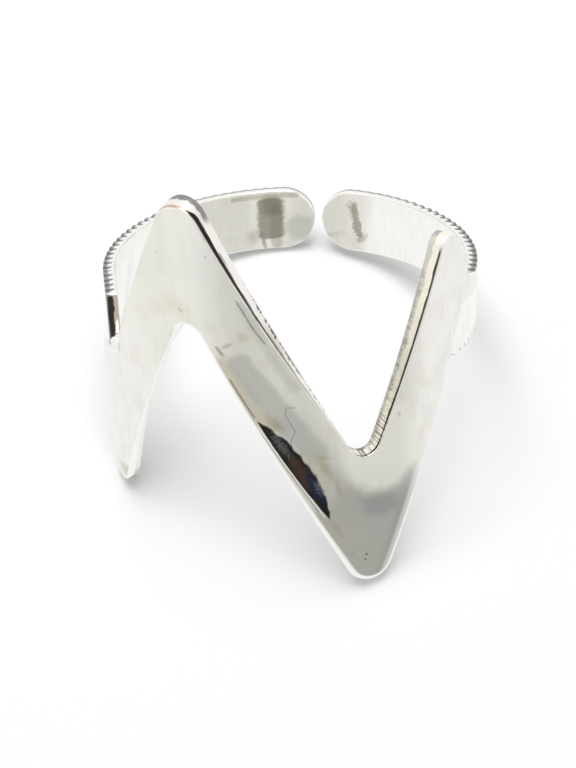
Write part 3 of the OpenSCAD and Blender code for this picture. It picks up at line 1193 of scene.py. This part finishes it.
def reeding_tree(numbers: tuple[str, ...]) -> bpy.types.NodeTree:
    """Build the geometry tree that cuts round-bottomed grooves at an even pitch along an edge.

    Args:
        numbers: Names of its number inputs.

    Returns:
        The tree.
    """
    tree = bpy.data.node_groups.new("reeded_edge", "GeometryNodeTree")
    for label, kind in (("Geometry", "Geometry"), *((name, "Float") for name in numbers),
                        ("Finger Axis", "Vector"), ("Material", "Material")):
        tree.interface.new_socket(label, in_out="INPUT", socket_type=f"NodeSocket{kind}")
    tree.interface.new_socket("Geometry", in_out="OUTPUT", socket_type="NodeSocketGeometry")
    g = Graph(tree)
    inside = g.node("NodeGroupInput").outputs
    run, side, place = (
        g.node("GeometryNodeInputNamedAttribute", {"Name": name}, data_type=kind).outputs[0]
        for name, kind in (("reed_run", "FLOAT"), ("reed_side", "FLOAT"), ("place", "FLOAT_VECTOR"))
    )
    depth, radius = g.split(place)[2], inside["Groove Radius"]
    half = g.times(inside["Pitch"], 0.5)
    across = g.math("WRAP", run, half, g.times(half, -1.0))
    arc = g.minus(g.times(radius, radius), g.times(across, across))
    arc = g.math("SQRT", g.larger(arc, 0.0))
    sunk = g.minus(arc, g.minus(radius, inside["Depth"]))
    sunk = g.larger(g.minus(sunk, g.times(depth, inside["Lean Slope"])), 0.0)
    # A dark stroke runs on below each groove, tarnish and painted shade
    stroke = g.times(
        g.fade(g.math("ABSOLUTE", across), inside["Stroke Core"], inside["Stroke Edge"]),
        g.fade(depth, inside["Stroke Solid To"], inside["Stroke Ends"]), inside["Stroke Share"],
    )
    shown = g.larger(g.math("DIVIDE", sunk, inside["Depth"]), stroke)
    shown = g.times(shown, g.math("ABSOLUTE", side))
    stored = g.node("GeometryNodeStoreNamedAttribute",
                    {"Geometry": inside["Geometry"], "Name": "groove", "Value": shown}, data_type="FLOAT")
    move = g.times(sunk, side, -MM)
    offset = g.node("ShaderNodeVectorMath", {0: inside["Finger Axis"], "Scale": move}, operation="SCALE")
    cut = g.node("GeometryNodeSetPosition", {"Geometry": stored.outputs[0], "Offset": offset.outputs[0]})
    real = g.node("GeometryNodeRealizeInstances", {"Geometry": cut.outputs[0]})
    dressed = g.node("GeometryNodeSetMaterial",
                     {"Geometry": real.outputs[0], "Material": inside["Material"]})
    g.node("NodeGroupOutput", {0: dressed.outputs[0]})
    return tree


def reed_edges(arm: bpy.types.Object, sizes: RingSizes, lean: Lean,
               finish: bpy.types.Material) -> bpy.types.Object:
    """Run the reeding tree over an arm and keep the result as a plain mesh.

    Args:
        arm: The arm, with its reeding's run and side stored at its points.
        sizes: The ring's sizes.
        lean: How the ring rests.
        finish: The arm's material.

    Returns:
        The arm, with the reeded mesh.
    """
    numbers = {
        "Pitch": sizes.reed_pitch, "Depth": sizes.reed_depth, "Groove Radius": sizes.reed_r,
        "Lean Slope": math.tan(math.radians(sizes.reed_lean)), "Stroke Core": sizes.stroke_width[0],
        "Stroke Edge": sizes.stroke_width[1], "Stroke Solid To": sizes.stroke_depth[0],
        "Stroke Ends": sizes.stroke_depth[1], "Stroke Share": sizes.stroke_share,
    }
    tree = bpy.data.node_groups.get("reeded_edge") or reeding_tree(tuple(numbers))
    modifier = arm.modifiers.new("Reeding", "NODES")
    modifier.node_group = tree
    values = {**numbers, "Finger Axis": tuple(lean.axis), "Material": finish}
    for item in tree.interface.items_tree:
        if item.item_type == "SOCKET" and item.in_out == "INPUT" and item.name in values:
            modifier[item.identifier] = values[item.name]
    arm.update_tag()
    graph = bpy.context.evaluated_depsgraph_get()
    mesh = bpy.data.meshes.new_from_object(
        arm.evaluated_get(graph), preserve_all_data_layers=True, depsgraph=graph)
    arm.modifiers.remove(modifier)
    arm.data = mesh
    mesh.name = arm.name
    return arm


@dataclass(frozen=True)
class PhotoCamera:
    """The photograph's view, in the upright ring's own frame, in millimetres and degrees."""

    distance: float = 90.0
    elevation: float = 27.937
    side: float = 0.1432
    rise: float = 5.0993
    roll: float = -1.96
    lens: float = 81.3
    sensor: float = 36.0
    clip_metres: Span = (0.005, 10.0)

    def build(self, lean: Lean) -> None:
        """Make the camera and give it to the scene.

        Args:
            lean: How the ring rests, which the camera leans with.
        """
        e, roll = math.radians(self.elevation), math.radians(self.roll)
        ahead = Vector((0, math.cos(e), -math.sin(e)))
        right, up = Vector((1, 0, 0)), Vector((0, math.sin(e), math.cos(e)))
        across = right * math.cos(roll) + up * math.sin(roll)
        above = up * math.cos(roll) - right * math.sin(roll)
        stand = -(ahead * self.distance + across * self.side + above * self.rise)
        data = bpy.data.cameras.new("photo_camera")
        data.lens, data.sensor_width = self.lens, self.sensor
        data.clip_start, data.clip_end = self.clip_metres
        camera = place_object("photo_camera", data)
        frame = Matrix((across, above, -ahead)).transposed()
        camera.matrix_world = Matrix.Translation(lean.turn @ stand * MM) @ (lean.turn @ frame).to_4x4()
        bpy.context.scene.camera = camera


@dataclass(frozen=True)
class Studio:
    """A pale table in a light tent, with a dimmer front that the silver mirrors.

    The front's spans are in degrees: how far round and how high it fades in, and out again.
    """

    floor_z: float
    half_size: float = 1.5
    table_white: Colour = (0.93, 0.93, 0.935)
    table_roughness: float = 0.9
    tent: Colour = (0.56, 0.56, 0.56)
    mirrored: Colour = (0.97, 0.965, 0.955)
    mirrored_front: Colour = (0.71, 0.705, 0.66)
    front_left: Span = (-58.0, -26.0)
    front_right: Span = (54.0, 76.0)
    front_low: Span = (-36.0, -15.0)
    front_high: Span = (30.0, 55.0)
    lamp_power: float = 1.06
    lamp_size: float = 0.28
    lamp_at: tuple[float, float, float] = (-0.04, 0.09, 0.4)

    def build(self) -> None:
        """Make the table, the tent and the lamp."""
        self.table()
        self.light_tent()
        self.lamp()
        bpy.context.scene.view_settings.view_transform = "Standard"

    def table(self) -> None:
        """Lay the pale table under the ring."""
        mesh = bpy.data.meshes.new("table_top")
        h = self.half_size
        corners = [(x, y, self.floor_z) for x, y in ((-h, -h), (h, -h), (h, h), (-h, h))]
        mesh.from_pydata(corners, [], [(0, 1, 2, 3)])
        top = place_object("table_top", mesh)
        material = bpy.data.materials.new("table_white")
        material.use_nodes = True
        shader = material.node_tree.nodes["Principled BSDF"]
        shader.inputs["Base Color"].default_value = (*self.table_white, 1.0)
        shader.inputs["Roughness"].default_value = self.table_roughness
        mesh.materials.append(material)
        top.visible_glossy = False
        top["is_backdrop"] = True

    def light_tent(self) -> None:
        """Light the scene evenly, and give the silver a bright surround with a dimmer front."""
        world = bpy.data.worlds.new("light_tent")
        bpy.context.scene.world = world
        world.use_nodes = True
        g = Graph(world.node_tree)
        x, y, z = g.split(g.node("ShaderNodeTexCoord").outputs["Generated"])
        round_to = g.math("DEGREES", g.math("ARCTAN2", x, g.times(y, -1.0)))
        rise = g.math("DEGREES", g.math("ARCSINE", z))
        front = g.times(g.spread(round_to, *self.front_left), g.fade(round_to, *self.front_right),
                        g.spread(rise, *self.front_low), g.fade(rise, *self.front_high))
        glossy = g.node("ShaderNodeLightPath").outputs["Is Glossy Ray"]
        colour = g.mix(glossy, self.tent, g.mix(front, self.mirrored, self.mirrored_front))
        back = g.node("ShaderNodeBackground", {"Color": colour, "Strength": 1.0})
        g.node("ShaderNodeOutputWorld", {"Surface": back.outputs[0]})

    def lamp(self) -> None:
        """Hang one broad soft lamp above the ring, a little behind it and to its left."""
        data = bpy.data.lights.new("soft_lamp", "AREA")
        data.energy, data.size = self.lamp_power, self.lamp_size
        lamp = place_object("soft_lamp", data)
        lamp.location = self.lamp_at
        lamp.rotation_euler = (-lamp.location).to_track_quat("-Z", "Y").to_euler()


INK = (0.012, 0.012, 0.016)
GREY = (0.55, 0.56, 0.555)
TOE_GREY = (0.425, 0.435, 0.425)
BLUE_GREY = (0.33, 0.36, 0.375)
CREAM = (0.99, 0.985, 0.94)
BRIGHT = (0.97, 0.965, 0.95)
OCHRE = (0.42, 0.33, 0.21)
OLIVE = (0.42, 0.38, 0.27)
UMBER = (0.25, 0.18, 0.12)
DEEP_GREY = (0.12, 0.12, 0.12)
RUST = (0.62, 0.42, 0.28)

# Each mark, a stain or a painted reflection, gives its place, half sizes, angle, run, colour, strength,
# softness and raggedness
# Broad marks on the letter's face: tints, and painted reflections in grey, cream and blue-grey, with a
# painted highlight on the toe's bevel
BROAD_TINTS_AND_REFLECTIONS = (
    Mark((-6.6, 4.2), (2.2, 4.2), 0, 0, (0.78, 0.785, 0.67), 0.45, 0.8),
    Mark((-3.7, 4.6), (1.1, 2.6), 25, 0, (0.8, 0.815, 0.81), 0.4, 0.8),
    Mark((-2.6, -1.0), (0.5, 0.5), -58, 1.5, (0.62, 0.56, 0.44), 0.6, 0.6, 1.6),
    # Painted reflection: the grey band down the diagonal, in two parts
    Mark((-0.83, -1.98), (0.6, 0.6), -54, 2.9, GREY, 0.7, 0.34, 0.7),
    Mark((0.75, -4.4), (0.85, 0.85), -58, 1.7, GREY, 0.5, 0.8, 1.0),
    # Painted reflection: the grey toe
    Mark((3.6, -9.3), (3.3, 3.5), 0, 0, TOE_GREY, 0.8, 0.3, 0.5),
    Mark((0.9, -5.6), (0.9, 1.6), 30, 0, (0.6, 0.57, 0.47), 0.5, 0.6, 1.2),
    Mark((2.6, -9.4), (0.7, 1.8), 28, 0, (0.56, 0.55, 0.5), 0.35, 0.8, 0.8),
    # Painted reflection: the light tongue above the toe, then the grey and blue-grey patches beside it
    Mark((4.35, -4.6), (2.1, 2.55), 0, 0, CREAM, 0.85, 0.22, 0.5),
    Mark((4.4, -7.85), (1.2, 0.62), -18, 0, BLUE_GREY, 0.6, 0.55, 1.6),
    Mark((5.75, -7.3), (0.5, 1.1), -20, 0, GREY, 0.5, 0.4, 1.0),
    Mark((5.3, -9.4), (0.45, 2.0), -14, 0, BLUE_GREY, 0.5, 0.8, 1.0),
    Mark((4.6, -11.6), (0.5, 1.5), -16, 0, BLUE_GREY, 0.4, 0.9, 1.0),
    # Painted highlight on the toe's bevel
    Mark((5.36, -9.2), (0.15, 0.15), 68.8, 2.9, BRIGHT, 0.6, 0.9, 0.8),
    Mark((1.7, -9.0), (0.4, 1.0), 30, 0, (0.55, 0.53, 0.46), 0.4, 0.9, 2.0),
    Mark((-1.2, 1.3), (0.22, 0.22), -61.0, 2.4, (0.6, 0.62, 0.62), 0.5, 0.9, 1.6),
)
# The dark lens on the diagonal, a painted reflection, with its brown and blue tints, a stain above it, two
# faint grey smears, and the painted bright line along its side
DARK_LENS_REFLECTION = (
    Mark((-1.1, -2.75), (0.55, 0.4), -50, 0, (0.55, 0.5, 0.36), 0.5, 0.6, 1.4),
    Mark((-0.18, -5.37), (3.3, 0.84), -58.9, 0, INK, 0.98, 0.08, 0.7, pointed=1.0, flat=9.0),
    Mark((0.2, -5.4), (1.25, 0.34), -60, 0, (0.085, 0.052, 0.038), 0.85, 0.6, 2.0, pointed=1.0),
    Mark((0.85, -6.35), (1.0, 0.27), -64, 0, (0.02, 0.032, 0.075), 0.85, 0.5, 2.5, pointed=1.0),
    Mark((-0.75, -3.85), (0.65, 0.17), -57, 0, GREY, 0.18, 0.5, 4.5),
    Mark((0.95, -6.3), (0.4, 0.12), -66, 0, GREY, 0.16, 0.4, 5.0),
    # Painted highlight along the lens's side, with a dark line beside it
    Mark((-0.29, -5.43), (0.035, 0.035), -58.9, 3.0, BRIGHT, 0.9, 0.3, 0.8),
    Mark((-0.35, -5.47), (0.025, 0.025), -58.9, 2.6, DEEP_GREY, 0.5, 0.4, 1.2),
)
# Small stains on the letter, the foot's yellowed end, a dark streak and a hair
SMALL_STAINS = (
    Mark((-0.95, -2.75), (0.4, 0.2), -48, 0, OLIVE, 0.55, 0.9, 1.6),
    Mark((1.35, -5.25), (0.5, 0.2), -65, 0, OCHRE, 0.5, 0.9, 2.0),
    Mark((1.3, -4.65), (0.3, 0.12), -20, 0, OCHRE, 0.35, 0.9, 2.0),
    Mark((2.0, -6.5), (0.5, 0.12), -76, 0, OCHRE, 0.3, 0.9, 2.0),
    Mark((1.85, -8.75), (0.5, 0.16), -60, 0, OCHRE, 0.3, 0.9, 2.0),
    Mark((-2.55, -1.4), (0.05, 0.05), -60, 1.1, UMBER, 0.65, 0.4, 1.6),
    Mark((-3.55, 1.0), (0.3, 0.09), -50, 0, UMBER, 0.6, 0.5, 2.5),
    Mark((-3.15, 1.35), (0.3, 0.1), 30, 0, (0.45, 0.36, 0.26), 0.45, 0.6, 2.0),
    Mark((-5.75, 2.95), (0.9, 0.45), -30, 0, (0.66, 0.6, 0.46), 0.3, 0.9, 1.6),
    Mark((-6.9, 2.6), (0.5, 0.3), 10, 0, (0.66, 0.6, 0.46), 0.25, 0.9, 1.6),
    Mark((-5.54, 2.8), (0.14, 0.08), -40, 0, RUST, 0.5, 0.5, 1.0),
    Mark((-2.36, 1.86), (0.28, 0.25), 0, 0, RUST, 0.28, 0.7, 1.5),
    Mark((5.25, -3.08), (0.09, 0.15), 0, 0, OCHRE, 0.35, 0.6, 1.0),
    Mark((-10.6, -8.1), (1.2, 0.35), 4, 0, (0.5, 0.5, 0.36), 0.7, 0.6, 1.0),
    Mark((-11.6, -8.9), (1.6, 0.7), 0, 0, (0.36, 0.36, 0.24), 0.8, 0.5, 1.0, depth=0.7, through=0.6),
    *Mark.hair(((-2.62, 3.7), (-2.3, 3.15), (-1.9, 2.4), (-1.35, 1.6)), 0.045, DEEP_GREY, 0.5,
               softness=0.5, ragged=3.0),
    *Mark.hair(((0.02, -1.81), (-0.45, -1.8), (-0.51, -2.18), (-0.29, -2.62), (-0.06, -3.06), (-0.12, -3.33),
                (-0.27, -3.6), (-0.23, -3.99)), 0.018, DEEP_GREY, 0.6, ragged=0.6),
)
# Pits in the face: place, half length and strength of each
PIT_SQUASH = 0.8
PITS = tuple(
    Mark(at, (size, size * PIT_SQUASH), 0, 0, INK, strength, 0.3, 0.5, pit=1.5)
    for at, size, strength in (
        ((3.38, -10.58), 0.06, 0.95), ((3.32, -10.87), 0.05, 0.9), ((2.66, -10.35), 0.05, 0.3),
        ((-6.71, 5.5), 0.06, 0.22), ((-4.0, 5.75), 0.07, 0.25), ((9.22, -0.84), 0.08, 0.2),
    )
)
# Stains inside the band, at the depth of its inner face
INNER_FACE = 0.6
BAND_STAINS = tuple(
    Mark(*row, depth=INNER_FACE)
    for row in (
        ((-27.3, 0.1), (0.25, 0.74), 90, 1.0, (0.28, 0.26, 0.21), 0.8, 0.2, 0.6),
        ((-27.6, -0.3), (0.3, 0.3), 90, 1.1, (0.25, 0.23, 0.18), 0.4, 0.4, 1.5),
        ((-26.85, -1.2), (0.3, 0.12), 80, 0.2, (0.28, 0.26, 0.21), 0.6, 0.4, 1.5),
        ((-27.4, 0.9), (0.35, 0.6), 90, 0.3, (0.2, 0.18, 0.14), 0.5, 0.5, 1.0),
        ((-26.3, -0.9), (0.4, 0.35), 40, 0, (0.5, 0.49, 0.45), 0.5, 0.7, 2.5),
        ((24.35, 0.2), (0.3, 0.22), 80, 0.75, (0.33, 0.3, 0.23), 0.75, 0.35, 3.5),
        ((24.7, 0.9), (0.3, 0.2), 60, 0, (0.4, 0.37, 0.3), 0.4, 0.7, 2.0),
        ((24.0, -0.9), (0.35, 0.2), -40, 0, (0.38, 0.35, 0.28), 0.6, 0.5, 2.5),
        ((26.4, -1.0), (1.0, 0.2), -10, 0, (0.55, 0.54, 0.5), 0.4, 0.6, 2.5),
        ((-29.0, -0.5), (0.9, 0.8), 0, 0, (0.6, 0.625, 0.62), 0.6, 0.3, 1.2),
        ((-27.0, 1.45), (0.14, 0.14), 0, 1.8, (0.5, 0.46, 0.36), 0.6, 0.5, 1.5),
        ((-16.6, -0.6), (0.25, 0.25), -60, 0.8, (0.75, 0.79, 0.83), 0.5, 0.6, 0.6),
    )
)
SOLDER_STAINS = (Mark((-11.4, -0.9), (0.14, 0.1), 0, 0, DEEP_GREY, 0.7, 0.4, 1.2),)


def main() -> None:
    """Build the ring piece by piece."""
    logging.basicConfig(level=logging.INFO, format="%(message)s")
    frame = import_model()
    cad_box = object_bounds()
    mount = next(m for m in frame["record"]["mounts"] if m["name"] == MOUNT)
    sizes = RingSizes(bore_r=mount["dims"]["r_mm"])
    lean = Lean(Vector(mount.get("axis")).normalized())
    groups = Groups(wear_group(), mark_group(), sawn_group())
    letter_marks = BROAD_TINTS_AND_REFLECTIONS + DARK_LENS_REFLECTION + SMALL_STAINS + PITS
    plate_finish = SilverFinish("plate_silver", sizes.plate_t, letter_marks).build(groups)
    band_finish = SilverFinish(
        "band_silver", sizes.band_t, BAND_STAINS, tarnish_share=0.1, cool_share=0.2,
        # The band's filed end face is painted near black, a painted dark reflection, with a lighter far part
        sawn_left=(0.06, 0.045, 0.04), far=(0.62, 0.59, 0.53), far_above=BELOW_ALL,
        rust_to=BELOW_ALL, torn_below=BELOW_ALL, colour=(0.97, 0.965, 0.94), edge_dark_reflection=0.8, bump=0.1,
    ).build(groups)
    plain_finish = SilverFinish("solder_silver", sizes.plate_t, SOLDER_STAINS).build(groups)
    letter = LetterPlate(sizes).build(lean)
    letter.data.materials.append(plate_finish)
    pieces = [letter]
    for solder in (head_solder(sizes), tip_solder(sizes)):
        piece = solder.build(sizes, lean)
        piece.data.materials.append(plain_finish)
        pieces.append(piece)
    pieces += [arm.build(lean, band_finish) for arm in (right_arm(sizes), left_arm(sizes))]
    for piece in pieces:
        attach(piece, BODY)
        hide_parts(NODE)
        log.info("%s: %d faces", piece.name, len(piece.data.polygons))
    Studio(floor_z=cad_box[0].z).build()
    PhotoCamera().build(lean)


if __name__ == "__main__":
    main()
